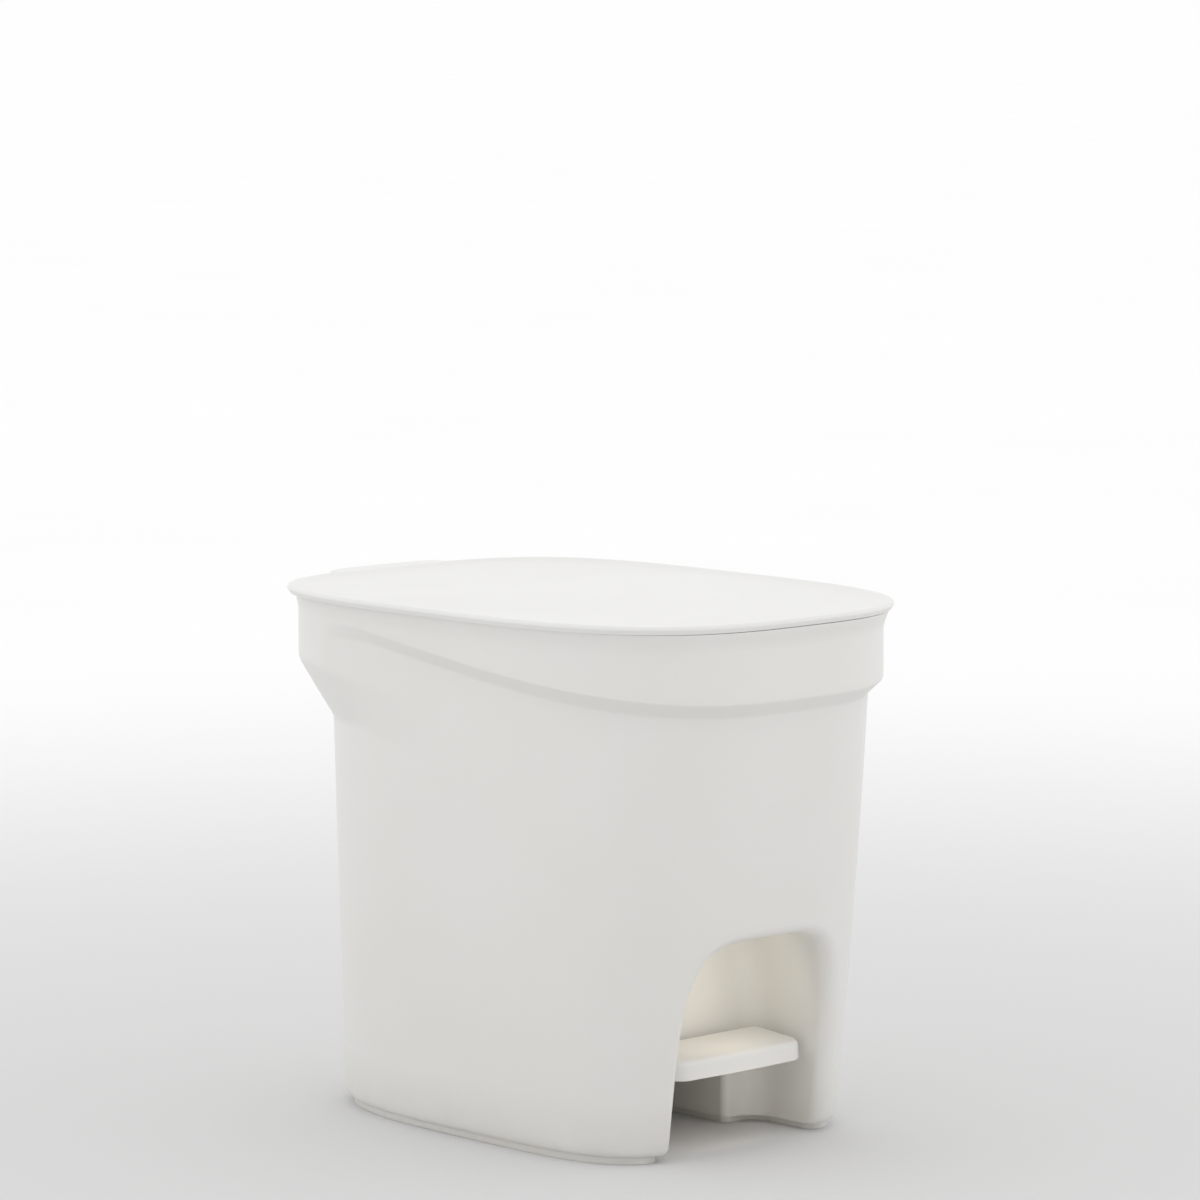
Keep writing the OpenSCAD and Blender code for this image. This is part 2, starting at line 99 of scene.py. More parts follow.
# Levers and rods
ROD_R, AXLE_R, PIN_PLAY = 2, 2.5, 0.06
HINGE_Y, HINGE_Z = 145, 240
ROD_Y, ROD_TOP_Z, ROD_LOW_Z = 117, 221.114, 8.114
ROD_BORE_R = 4
PIVOT_Y, PIVOT_Z = -8, 27
LID_SWING = math.radians(68)
KNUCKLE_R, KNUCKLE_IN, KNUCKLE_OUT = 4.2, 17, 23.6
HINGE_EAR_IN, HINGE_EAR_OUT = 24, 29
AXLE_EAR_R, AXLE_EAR_IN, AXLE_EAR_OUT = 7, 19.5, 23


# ---------------------------------------------------------------- outlines
def reach(plan, a):
    """Distance from the centre to a plan outline in direction a; plan may hold arrays."""
    back = np.sin(a) > 0
    depth = np.where(back, plan[2], plan[1])
    power = np.where(back, plan[4], plan[3])
    across = np.abs(np.cos(a)) / plan[0]
    along = np.abs(np.sin(a)) / depth
    return (across**power + along**power) ** (-1 / power)


def shrink(plan, by):
    """A plan outline moved in by a distance, with its powers kept."""
    return [plan[0] - by, plan[1] - by, plan[2] - by, plan[3], plan[4]]


def mix(p, q, t):
    return p * (1 - t) + q * t


def mixed_plan(t):
    """The body's outline at share t of the way from FOOT up to WAIST."""
    return [mix(p, q, t) for p, q in zip(FOOT, WAIST)]


def run_y(a):
    """How far back the collar's outline lies in direction a."""
    return reach(COLLAR, a) * np.sin(a)


def step_line(y):
    """Height of the collar's step, which climbs towards the back."""
    t = y + COLLAR[1]
    return np.minimum(STEP_Z + STEP_RISE * t + STEP_CURVE * t * t, STEP_TOP)


def step_rest(y):
    """Share of the collar that the rear bulge takes on below the step."""
    t = (y - STEP_FADE_FRONT) / (STEP_FADE_BACK - STEP_FADE_FRONT)
    return np.clip(t, 0, 1) ** STEP_FADE_POWER


def falling(line, y):
    """Height at y of a line that is level at the back and falls towards the front."""
    high, fall, start = line
    return high - fall * np.maximum(0, start - y)


def flare(y):
    """How far the casing's top edge stands out over the collar."""
    return mix(FLARE_FRONT, FLARE_BACK, (y + LID[1]) / (2 * LID[1]))


def edge_inset(z):
    """How far the rounded floor edge stands in at height z."""
    t = np.sqrt(np.clip((z - UNDER_Z) / (EDGE_Z - UNDER_Z), 0, 1))
    return EDGE_IN * (1 - t) ** 2


def wall_at(a, z, inset, share):
    """Reach of the casing's wall, which goes from the body's outline to the collar's."""
    body = reach(shrink(mixed_plan(np.maximum(z - FOOT_Z, 0) / (WAIST_Z - FOOT_Z)), inset), a)
    return mix(body, reach(shrink(COLLAR, inset), a), share)


def share_at(a, z):
    """Share of the way from the body's outline (0) to the collar's (1) at height z."""
    y = run_y(a)
    rest, step = step_rest(y), step_line(y)
    low, top = falling(BULGE_LOW, y), falling(BULGE_TOP, y)
    under = step - STEP_H
    rising = np.clip((z - low) / (top - low), 0, 1) * rest
    return np.where(z < under, rising, mix(rest, 1, np.clip((z - under) / STEP_H, 0, 1)))


def face_y(x, z):
    """Front face of the body at (x, z)."""
    inset = edge_inset(z)
    half, depth, _, power, _ = mixed_plan(np.maximum(z - FOOT_Z, 0) / (WAIST_Z - FOOT_Z))
    return -(depth - inset) * (1 - (np.abs(x) / (half - inset)) ** power) ** (1 / power)


def even_angles(plan, count):
    """Directions that cut an outline into equal lengths, from the front's middle round."""
    a = np.linspace(-math.pi / 2, 1.5 * math.pi, 7201)
    r = reach(plan, a)
    length = np.concatenate([[0], np.cumsum(np.hypot(*np.diff([r * np.cos(a), r * np.sin(a)])))])
    return np.interp(np.arange(count) / count * length[-1], length, a)


def polar(r, a, z):
    """Ring of points from reach, direction and height."""
    r, z = np.broadcast_arrays(r, np.asarray(z, float))
    return np.stack([r * np.cos(a), r * np.sin(a), z], -1)


# ---------------------------------------------------------------- sweeping
def conic(first, at, last, steps, weight=0.7071):
    """Rows from first to last that bend round the corner `at`, as a quarter round by default."""
    rows = []
    for t in np.linspace(0, 1, steps + 1):
        b = ((1 - t) ** 2, 2 * weight * t * (1 - t), t**2)
        rows.append((b[0] * first + b[1] * at + b[2] * last) / sum(b))
    return rows


def bend(before, at, after, cut, steps):
    """Rows that round the corner `at` between two rings, starting and ending `cut` away."""

    def toward(other):
        gap = other - at
        far = np.linalg.norm(gap, axis=-1, keepdims=True)
        return at + gap * np.minimum(cut / np.maximum(far, 1e-6), 0.48)

    return conic(toward(before), at, toward(after), steps, 0.75)


def swept(keys, cuts, spans, steps=5):
    """Rows through key rings: `cuts` rounds each inner one, `spans` divides each stretch."""
    rows = [keys[0]]
    for i in range(1, len(keys)):
        if i < len(keys) - 1 and cuts[i - 1] > 0:
            target = bend(keys[i - 1], keys[i], keys[i + 1], cuts[i - 1], steps)
        else:
            target = [keys[i]]
        start = rows[-1]
        rows += [mix(start, target[0], k / spans[i - 1]) for k in range(1, spans[i - 1])]
        rows += target
    return rows


def linked(name, data):
    """New object in the scene for mesh, curve, camera or light data."""
    obj = bpy.data.objects.new(name, data)
    bpy.context.scene.collection.objects.link(obj)
    return obj


class Skin:
    """Points and faces of one mesh, filled patch by patch."""

    def __init__(self):
        self.points, self.faces = [], []

    def ring(self, points):
        start = len(self.points)
        self.points += [tuple(p) for p in points]
        return list(range(start, start + len(points)))

    def bridge(self, one, two, closed=True):
        n = len(one)
        for i in range(n if closed else n - 1):
            j = (i + 1) % n
            self.faces.append((one[i], one[j], two[j], two[i]))

    def rows(self, rings, closed=True, first=None):
        """Adds rings and the faces between them, and returns their indices."""
        made = [self.ring(r) for r in rings]
        chain = ([first] if first else []) + made
        for one, two in zip(chain, chain[1:]):
            self.bridge(one, two, closed)
        return made

    def cone(self, ring, centre):
        tip = self.ring([centre])[0]
        n = len(ring)
        self.faces += [(ring[i], ring[(i + 1) % n], tip) for i in range(n)]

    def disc(self, ring, z, steps=6):
        """Closes a ring with smaller and smaller copies of it, then a fan."""
        edge = np.array([self.points[i] for i in ring])
        middle = edge.mean(0)
        middle[2] = z
        inner = [mix(edge, middle, k / (steps + 1)) for k in range(1, steps + 1)]
        for r in inner:
            r[:, 2] = z + (r[:, 2] - z) * 0.2
        self.cone(self.rows(inner, first=ring)[-1], middle)

    def mesh(self, name):
        """An object in the frame's metres, with its faces all turned outwards."""
        data = bpy.data.meshes.new(name)
        data.from_pydata([place(*p) for p in self.points], [], self.faces)
        obj = linked(name, data)
        tidy_mesh(obj, 1e-7)
        return obj


def solid(name, rings, ends=True):
    """Object from closed rings, with a flat face over each end if `ends` is set."""
    skin = Skin()
    made = skin.rows(rings)
    if ends:
        skin.faces += [tuple(made[0]), tuple(made[-1])]
    return skin.mesh(name)


def place(x, y, z):
    """The frame's metres from millimetres about the plan centre."""
    return (x * MM, (y + CENTRE_Y) * MM, z * MM)


def tidy_mesh(obj, weld):
    work = bmesh.new()
    work.from_mesh(obj.data)
    bmesh.ops.remove_doubles(work, verts=work.verts, dist=weld)
    bmesh.ops.dissolve_degenerate(work, dist=weld, edges=work.edges)
    bmesh.ops.recalc_face_normals(work, faces=work.faces)
    work.to_mesh(obj.data)
    work.free()


def smooth(obj, angle=32):
    """Smooth shading that keeps creases sharper than `angle` degrees."""
    obj.data.polygons.foreach_set("use_smooth", [True] * len(obj.data.polygons))
    obj.data.set_sharp_from_angle(angle=math.radians(angle))
    return obj


def carve(obj, tool, operation="DIFFERENCE"):
    """Cuts one closed mesh out of another, or joins it on, and removes the tool."""
    cut = obj.modifiers.new("carve", "BOOLEAN")
    cut.operation, cut.object, cut.solver = operation, tool, "MANIFOLD"
    made = bpy.data.meshes.new_from_object(
        obj.evaluated_get(bpy.context.evaluated_depsgraph_get())
    )
    obj.modifiers.clear()
    obj.data = made
    bpy.data.objects.remove(tool)
    return obj


def joined(name, parts):
    """One object from several closed solids."""
    work = bmesh.new()
    for part in parts:
        work.from_mesh(part.data)
        bpy.data.objects.remove(part)
    data = bpy.data.meshes.new(name)
    work.to_mesh(data)
    work.free()
    return linked(name, data)


# ---------------------------------------------------------------- small solids
def plate(name, outlines, x0, x1, edge=0.4):
    """Plate across X from closed outlines of (y, z): the first is its edge, the rest are holes."""
    curve = bpy.data.curves.new(name, "CURVE")
    curve.dimensions, curve.fill_mode = "2D", "BOTH"
    for outline in outlines:
        line = curve.splines.new("POLY")
        line.points.add(len(outline) - 1)
        for point, (y, z) in zip(line.points, outline):
            point.co = (y * MM, z * MM, 0, 1)
        line.use_cyclic_u = True
    curve.extrude = (x1 - x0) / 2 * MM - edge * MM
    curve.bevel_depth, curve.bevel_resolution, curve.offset = edge * MM, 2, -edge * MM
    holder = linked(name, curve)
    bpy.context.view_layer.update()
    data = bpy.data.meshes.new_from_object(
        holder.evaluated_get(bpy.context.evaluated_depsgraph_get())
    )
    bpy.data.objects.remove(holder)
    # the curve's X, Y and Z become the frame's Y, Z and X
    data.transform(
        Matrix(
            (
                (0, 0, 1, (x0 + x1) / 2 * MM),
                (1, 0, 0, CENTRE_Y * MM),
                (0, 1, 0, 0),
                (0, 0, 0, 1),
            )
        )
    )
    obj = linked(name, data)
    tidy_mesh(obj, 1e-6)
    return obj


def span(side, near, far):
    """X range of a pair's member on one side, from its distances to the middle."""
    return (near, far) if side > 0 else (-far, -near)


def circle(y, z, r, count=48):
    """Closed outline for `plate`."""
    turn = np.arange(count) / count * 2 * math.pi
    return [(y + r * math.cos(t), z + r * math.sin(t)) for t in turn]


def arc(y, z, r, start, end, count=16):
    """Part of an outline for `plate`, between two angles in degrees."""
    turn = np.radians(np.linspace(start, end, count))
    return [(y + r * math.cos(t), z + r * math.sin(t)) for t in turn]


def lathe(name, profile, y, z, flip=False, count=64):
    """Solid of revolution about a line along X through (y, z), from (x, radius) points."""
    turn = np.arange(count) / count * 2 * math.pi
    rings = []
    for x, r in profile:
        across = np.full(count, -x if flip else x)
        rings.append(np.stack([across, y + r * np.cos(turn), z + r * np.sin(turn)], -1))
    return solid(name, rings, ends=profile[0] != profile[-1])


def rod(name, r, half, y, z, chamfer=0.4):
    """Rod along X with chamfered ends, reaching `half` to each side of the middle."""
    end = [(-half, r - chamfer), (-half + chamfer * 0.3, r - chamfer * 0.3), (-half + chamfer, r)]
    plain = [(half * t, r) for t in (-0.5, 0, 0.5)]
    return lathe(name, end + plain + [(-x, q) for x, q in reversed(end)], y, z)


def tube(name, path, r, count=24, chamfer=0.4):
    """Round wire along a path of 3-D points, its ends closed by a small chamfer."""
    path = np.array(path, float)
    way = np.gradient(path, axis=0)
    way /= np.linalg.norm(way, axis=1, keepdims=True)
    side = np.cross(way[0], (0, 0, 1) if abs(way[0][2]) < 0.9 else (0, 1, 0))
    turn = np.arange(count) / count * 2 * math.pi
    rings = []
    for i, (p, w) in enumerate(zip(path, way)):
        side = side - w * side.dot(w)
        side /= np.linalg.norm(side)
        up = np.cross(w, side)
        spoke = np.outer(np.cos(turn), side) + np.outer(np.sin(turn), up)
        if i == 0:
            rings.append(p + spoke * (r - chamfer))
            p = p + w * chamfer
        if i == len(path) - 1:
            rings.append(p - w * chamfer + spoke * r)
            rings.append(p + spoke * (r - chamfer))
        else:
            rings.append(p + spoke * r)
    return solid(name, rings)


# ---------------------------------------------------------------- casing
COLUMNS = 400
WALL_STEP, WALL_TOP = 5, 130
PATCH_COLS, PATCH_Z = 42, 115
BULGE_OUT = 14


def arch_half(z, half, high, power):
    """Half the width of an arch at height z."""
    return half * (1 - np.clip(z / high, 0, 1) ** power) ** (1 / power)


def arch_path(side_z, top_share, corner_z, half, high, power):
    """Arch from its left foot over the top to its right foot, with its outward normals."""
    foot_z = UNDER_Z + side_z * (corner_z - UNDER_Z)
    corner_x = arch_half(corner_z, half, high, power)
    top_x = top_share * corner_x
    top_z = high * (1 - (np.abs(top_x) / half) ** power) ** (1 / power)
    foot_x = arch_half(foot_z, half, high, power)
    x = np.concatenate([-foot_x, top_x, foot_x[::-1]])
    z = np.concatenate([foot_z, top_z, foot_z[::-1]])
    normal = np.stack(
        [np.sign(x) * (np.abs(x) / half) ** (power - 1) / half, (z / high) ** (power - 1) / high],
        -1,
    )
    normal /= np.linalg.norm(normal, axis=1, keepdims=True)
    return np.stack([x, z], -1), normal


def niche_rows(outer):
    """Rows from the ring `outer` on the front face, round the niche's edge to the tunnel's end."""
    count = len(outer)
    tall = (count - (2 * PATCH_COLS - 1)) // 2
    side_z = (outer[:tall, 2] - UNDER_Z) / (PATCH_Z - UNDER_Z)
    top_share = outer[tall:-tall, 0] / abs(outer[tall - 1, 0])
    # the arch rises evenly at its feet and more slowly towards its corners
    side = side_z * (1.4 - 0.4 * side_z)
    arch, out = arch_path(side, top_share, *NICHE_ARCH)
    high = np.clip(out[:, 1:2], 0, 1)

    def on_face(points):
        return np.stack([points[:, 0], face_y(points[:, 0], points[:, 1]), points[:, 1]], -1)

    edge_r = mix(NICHE_EDGE_R, NICHE_EDGE_TOP_R, high)
    start = on_face(arch + out * edge_r)
    slope = on_face(arch + out * (edge_r + 0.5))[:, 1] - start[:, 1]
    corner = np.stack([arch[:, 0], start[:, 1] - slope * 2 * edge_r[:, 0], arch[:, 1]], -1)
    rows = [
        on_face(mix(outer[:, [0, 2]], arch + out * edge_r, t)) for t in np.linspace(0, 1, 11)[1:-1]
    ]

    def depth(points, y):
        return np.stack([points[:, 0], np.broadcast_to(y, len(points)), points[:, 1]], -1)

    back_r = mix(NICHE_R, NICHE_TOP_R, high)
    inner = depth(arch - out * back_r, NICHE_BACK)
    rows += conic(start, corner, corner + np.array([0, 1, 0]) * edge_r, 9)
    wall_end = depth(arch, NICHE_BACK - back_r[:, 0])
    rows += [mix(rows[-1], wall_end, t) for t in np.linspace(0, 1, 9)[1:-1]]
    rows += conic(wall_end, depth(arch, NICHE_BACK), inner, 9)

    mouth, mouth_out = arch_path(side_z, top_share, *MOUTH_ARCH)
    lip_r = mix(MOUTH_R, MOUTH_TOP_R, np.clip(mouth_out[:, 1:2], 0, 1))
    lip = depth(mouth + mouth_out * lip_r, NICHE_BACK)
    rows += [mix(inner, lip, t) for t in np.linspace(0, 1, 9)[1:-1]]
    rows += conic(lip, depth(mouth, NICHE_BACK), depth(mouth, NICHE_BACK + lip_r[:, 0]), 6)
    roof, _ = arch_path(side_z, top_share, *TUNNEL_ARCH)
    roof_front = NICHE_BACK + MOUTH_R + 0.4
    rows += [depth(roof, mix(roof_front, TUNNEL_END, t)) for t in np.linspace(0, 1, 9)]
    return rows


def casing_skin():
    """Closed skin of the casing, solid up to INNER_Z: the hollow is carved out afterwards."""
    a = even_angles(COLLAR, COLUMNS)
    y = run_y(a)
    rest, step = step_rest(y), step_line(y)
    low, top = falling(BULGE_LOW, y), falling(BULGE_TOP, y)

    # floor edge and plain wall
    rings = []
    for t in np.linspace(0, 1, 8):
        z = UNDER_Z + (EDGE_Z - UNDER_Z) * t**2
        rings.append(polar(wall_at(a, z, edge_inset(z), 0), a, z))
    for z in np.arange(EDGE_Z + WALL_STEP, WALL_TOP + 1, WALL_STEP):
        rings.append(polar(wall_at(a, float(z), 0, 0), a, z))
    patch_row = next(i for i, r in enumerate(rings) if abs(r[0, 2] - PATCH_Z) < 0.1)

    # the bulge in (share, z), its creases rounded at about its real depth, BULGE_OUT
    def key(share, z):
        return np.stack([share * BULGE_OUT + 0 * y, z + 0 * y], -1)

    bulge = swept(
        [key(0, WALL_TOP), key(0, low), key(rest, top), key(rest, step - STEP_H - 1.2)],
        [2, 2.5],
        [6, 7, 6],
        8,
    )[1:]
    for row in bulge:
        rings.append(polar(wall_at(a, row[:, 1], 0, row[:, 0] / BULGE_OUT), a, row[:, 1]))

    # chamfer, collar, flare, top edge and the inner wall down to INNER_Z
    under = polar(wall_at(a, step - STEP_H, 0, rest), a, step - STEP_H)
    collar = polar(reach(COLLAR, a), a, step)
    flare_low = polar(reach(COLLAR, a), a, FLARE_Z)
    flare_top = polar(reach(COLLAR, a) + flare(y), a, TOP_Z)
    inner_top = polar(reach(COLLAR, a) + flare(y) - WALL, a, TOP_Z)
    inner_low = polar(wall_at(a, FLARE_Z - 1, WALL, share_at(a, FLARE_Z - 1)), a, FLARE_Z - 1)
    rings += swept(
        [rings[-1], under, collar, flare_low, flare_top, inner_top, inner_low],
        [1.0, 0.7, 2.2, 0.25, 0.5],
        [1, 3, 6, 3, 2, 4],
        4,
    )[1:]
    for z in np.linspace(FLARE_Z - 1, INNER_Z, 8)[1:]:
        rings.append(polar(wall_at(a, z, WALL, share_at(a, z)), a, z))

    skin = Skin()
    made = [skin.ring(r) for r in rings]
    left, right = COLUMNS - PATCH_COLS, PATCH_COLS
    for j, (one, two) in enumerate(zip(made, made[1:])):
        if j >= patch_row:
            skin.bridge(one, two)
        else:
            skin.bridge(one[right : left + 1], two[right : left + 1], closed=False)
    skin.faces.append(tuple(made[-1]))

    border = [made[j][left] for j in range(patch_row + 1)]
    border += made[patch_row][left + 1 :] + made[patch_row][:right]
    border += [made[j][right] for j in range(patch_row, -1, -1)]
    outer = np.array([skin.points[i] for i in border])
    inward = skin.rows(niche_rows(outer), closed=False, first=border)
    skin.faces.append(tuple(inward[-1]))
    underside = made[0][right : left + 1]
    underside += [row[0] for row in inward]
    underside += [row[-1] for row in reversed(inward)]
    skin.faces.append(tuple(underside))
    return skin.mesh("casing_shell")


def niche_block(face_grow, wall_grow):
    """Closed block over the niche for carving: wide at the front face, then `wall_grow` around."""
    side = np.linspace(0, 1, 24)
    top = np.linspace(-1, 1, 41)[1:-1]
    arch, out = arch_path(side, top, *NICHE_ARCH)
    arch = np.concatenate([[[arch[0, 0], -20]], arch, [[arch[-1, 0], -20]]])
    out = np.concatenate([out[:1], out, out[-1:]])
    face = face_y(arch[:, 0], np.maximum(arch[:, 1], EDGE_Z))
    rings = []
    for depth, grow in ((-14, face_grow), (0, face_grow), (3, face_grow - 3), (7, wall_grow)):
        p = arch + out * grow
        rings.append(np.stack([p[:, 0], face + depth, p[:, 1]], -1))
    p = arch + out * wall_grow
    rings.append(np.stack([p[:, 0], np.full(len(p), NICHE_BACK + wall_grow), p[:, 1]], -1))
    return solid("niche_block", rings)


def brick(name, low, high, edge=0.4):
    """Box with bevelled edges between two corners, in millimetres."""
    low, high = np.array(low, float), np.array(high, float)
    work = bmesh.new()
    bmesh.ops.create_cube(work, size=1)
    bmesh.ops.scale(work, vec=(high - low) * MM, verts=work.verts)
    bmesh.ops.translate(work, vec=place(*((low + high) / 2)), verts=work.verts)
    if edge:
        bmesh.ops.bevel(
            work,
            geom=work.edges[:] + work.verts[:],
            offset=edge * MM,
            segments=2,
            profile=0.6,
            affect="EDGES",
        )
    data = bpy.data.meshes.new(name)
    work.to_mesh(data)
    work.free()
    return linked(name, data)


def casing_hollow():
    """Inside of the casing: the room around niche and tunnel up to just over INNER_Z."""
    a = even_angles(COLLAR, 240)
    floor = UNDER_Z + WALL
    heights = np.concatenate([[floor, floor + 1, floor + 3], np.arange(12, INNER_Z, 6), [INNER_Z]])
    inset = WALL + 0.05
    rings = [polar(wall_at(a, float(z), inset, share_at(a, float(z))), a, z) for z in heights]
    rings[0] = polar(wall_at(a, floor, inset + 2, 0), a, floor)
    rings[1] = polar(wall_at(a, floor, inset + 0.6, 0), a, floor + 1)
    rings.append(rings[-1] + [0, 0, 1])
    hollow = solid("hollow", rings)
    carve(hollow, niche_block(NICHE_CUT_R, WALL))
    tunnel = [TUNNEL_HALF + WALL, TUNNEL_END + 6, TUNNEL_H + WALL]
    carve(hollow, brick("tunnel", [-tunnel[0], NICHE_BACK - 2, -5], tunnel, 0))
    return hollow


def rim_ring(inset, side):
    """Path of the standing rim under one foot: the body's outline, the tunnel and the niche."""
    x, slot, back = (v + inset - RIM_NEAR for v in (NICHE_HALF, MOUTH_HALF, NICHE_BACK))
    foot = shrink(FOOT, inset)
    front_r = 10

    def turned(depth, power, at):
        return depth * (1 - (at / foot[0]) ** power) ** (1 / power)

    front = -turned(foot[1], foot[3], x)
    a = np.linspace(
        math.atan2(-turned(foot[1], foot[3], x + front_r), x + front_r),
        math.atan2(turned(foot[2], foot[4], slot), slot),
        160,
    )
    r = reach(foot, a)
    round_r = NICHE_R - inset
    turn = np.linspace(0, math.pi / 2, 12)
    bead = MOUTH_R
    path = list(zip(r * np.cos(a), r * np.sin(a)))
    path += [(slot, y) for y in np.linspace(path[-1][1], back + bead, 12)[1:-1]]
    path += [(slot + bead * (1 - math.cos(t)), back + bead * (1 - math.sin(t))) for t in turn]
    path += [(x - round_r * (1 - math.sin(t)), back - round_r * (1 - math.cos(t))) for t in turn]
    path += [(x, y) for y in np.linspace(back - round_r, front + front_r, 8)[1:-1]]
    path += conic(np.array((x, front + front_r)), np.array((x, front)), np.array(path[0]), 6)[:-1]
    ring = np.array(path)
    return np.stack([side * ring[:, 0], ring[:, 1]], -1)


def standing_rim(side):
    """Closed bead that one foot of the bin stands on."""
    outer, inner = (rim_ring(EDGE_IN + at, side) for at in (RIM_OUT, RIM_OUT + RIM_W))

    def level(ring, z):
        return np.column_stack([ring, np.full(len(ring), z)])

    top = UNDER_Z + 0.3
    keys = [level(outer, top), level(outer, 0), level(inner, 0), level(inner, top)]
    skin = Skin()
    made = skin.rows(swept(keys, [0.5, 0.5], [2, 1, 2], 3))
    skin.bridge(made[-1], made[0])
    return skin.mesh("rim")


def rod_bore():
    """Tool for the hole in the tunnel's roof that the push rod rises through."""
    turn = np.arange(48) / 48 * 2 * math.pi
    x, y = ROD_BORE_R * np.cos(turn), ROD_Y + ROD_BORE_R * np.sin(turn)
    return solid("rod_bore", [np.stack([x, y, 0 * x + TUNNEL_H + z], -1) for z in (-2, 8)])


def casing():
    shell = casing_skin()
    carve(shell, casing_hollow())
    carve(shell, rod_bore())
    parts = [shell]
    rest_x, rest_front, rest_back = 58, -35, 75
    ear_root = HINGE_Y - 8.5
    for s in (-1, 1):
        ear = arc(HINGE_Y, HINGE_Z, KNUCKLE_R, -90, 90)
        ear += [(ear_root, HINGE_Z + KNUCKLE_R - 0.1), (ear_root, HINGE_Z - 11)]
        hole = circle(HINGE_Y, HINGE_Z, ROD_R + PIN_PLAY)
        parts.append(plate("ear", [ear, hole], *span(s, HINGE_EAR_IN, HINGE_EAR_OUT), 0.5))
        ear = [(PIVOT_Y + AXLE_EAR_R, TUNNEL_H + 1), (PIVOT_Y - AXLE_EAR_R, TUNNEL_H + 1)]
        ear += arc(PIVOT_Y, PIVOT_Z, AXLE_EAR_R, 180, 360)
        hole = circle(PIVOT_Y, PIVOT_Z, AXLE_R + PIN_PLAY)
        parts.append(plate("ear", [ear, hole], *span(s, AXLE_EAR_IN, AXLE_EAR_OUT), 0.4))
        low = [s * rest_x - WALL / 2, rest_front, UNDER_Z + 1]
        parts.append(brick("rest", low, [s * rest_x + WALL / 2, rest_back, BUCKET_FLOOR]))
        parts.append(standing_rim(s))
    return joined("casing_moulding", parts)


# ---------------------------------------------------------------- lid
PLATE_Z, DISH_Z = LIP_Z - 4.3, LIP_Z - 2.3
SKIRT_Z, SKIRT_T, SKIRT_GAP_HALF = 240.5, 1.4, 62
LIP_R, LIP_FLAT, SEAT_IN = 1.8, 3.2, 1.2
SLOT_R = 2.95
CRANK_TOP_Z = PLATE_Z + 0.6

# The dish: [distance from the lid's edge, height]
DISH = ((3.8, LIP_Z - 0.1), (6.8, DISH_Z + 0.9), (13, DISH_Z + 0.25), (22, DISH_Z + 0.05))


def tongue(x, y, out, half):
    """How far the tongue over the hinge carries the lid's outline back at x."""
    t = np.clip(np.abs(x) / half, 0, 1)
    return np.where(y > 0, out * (1 - t**8) ** 0.4, 0)


def lid_moulding():
    a = even_angles(LID, COLUMNS)
    # more columns where the tongue turns
    corner = np.arccos(np.linspace(29, TONGUE_HALF + 0.5, 18) / LID[1])
    a = np.unique(np.concatenate([a, corner, math.pi - corner]))

    def ring(plan, z, out=0.0, half=TONGUE_HALF):
        r = reach(plan, a)
        x, y = r * np.cos(a), r * np.sin(a)
        return np.stack([x, y + tongue(x, y, out, half), z + 0 * x], -1)

    edge = ring(LID, 0)
    # the skirt stops short of the hinge
    gap = (np.abs(edge[:, 0]) < SKIRT_GAP_HALF) & (edge[:, 1] > 0)
    skirt_z = np.where(gap, PLATE_Z - 0.2, SKIRT_Z)
    skirt, seat = shrink(COLLAR, WALL + 2.5), shrink(LID, SEAT_IN)
    lip_inner = ring(shrink(LID, LIP_R), LIP_Z, TONGUE_OUT, TONGUE_HALF - LIP_R)
    rows = swept(
        [
            ring(shrink(skirt, SKIRT_T), PLATE_Z),
            ring(shrink(skirt, SKIRT_T), skirt_z),
            ring(skirt, skirt_z),
            ring(skirt, SEAT_Z + 0.2),
            ring(shrink(seat, 3), SEAT_Z + 0.2),
            ring(seat, SEAT_Z, TONGUE_OUT, TONGUE_HALF - SEAT_IN),
            ring(LID, LIP_Z - LIP_R, TONGUE_OUT),
        ],
        [0.4, 0.4, 0.5, 0.4, 0.35],
        [3, 1, 3, 2, 2, 3],
        4,
    )
    rows += conic(rows[-1], ring(LID, LIP_Z, TONGUE_OUT), lip_inner, 8)[1:]
    rows += swept(
        [
            lip_inner,
            ring(shrink(LID, LIP_FLAT), LIP_Z, TONGUE_OUT, TONGUE_HALF - LIP_FLAT),
            *(ring(shrink(LID, inset), z) for inset, z in DISH),
        ],
        [0.2, 1.2, 1.8, 3],
        [2, 1, 2, 3, 3],
        4,
    )[1:]
    skin = Skin()
    made = skin.rows(rows)
    skin.disc(made[0], PLATE_Z, 10)
    skin.disc(made[-1], DISH_Z, 12)
    return skin.mesh("lid_shell")


def lid():
    parts = [lid_moulding()]
    knuckle = arc(HINGE_Y, HINGE_Z, KNUCKLE_R, 180, 360)
    knuckle += [(HINGE_Y + 3, LIP_Z - 3.4), (HINGE_Y - 3, LIP_Z - 3.4)]
    hole = circle(HINGE_Y, HINGE_Z, ROD_R + PIN_PLAY)
    for s in (-1, 1):
        parts.append(plate("knuckle", [knuckle, hole], *span(s, KNUCKLE_IN, KNUCKLE_OUT), 0.5))
    tilt = LID_SWING / 2
    near = HINGE_Y - ROD_Y
    near_y, near_z = HINGE_Y - near * math.cos(tilt), HINGE_Z - near * math.sin(tilt)
    way = math.degrees(tilt)
    slot = arc(ROD_Y, HINGE_Z - near * math.tan(tilt), SLOT_R, 90 + way, 270 + way)
    slot += arc(near_y, near_z, SLOT_R, way - 90, way + 90)
    r = SLOT_R + 2.8
    lug = [(ROD_Y + 13, CRANK_TOP_Z), (ROD_Y - 12, CRANK_TOP_Z)]
    lug += arc(ROD_Y, ROD_TOP_Z, r, 175, 275) + arc(near_y, near_z, r, 300, 380)
    parts.append(plate("crank", [lug, slot], ARM_IN, ARM_IN + ARM_T, 0.4))
    return joined("lid_moulding", parts)


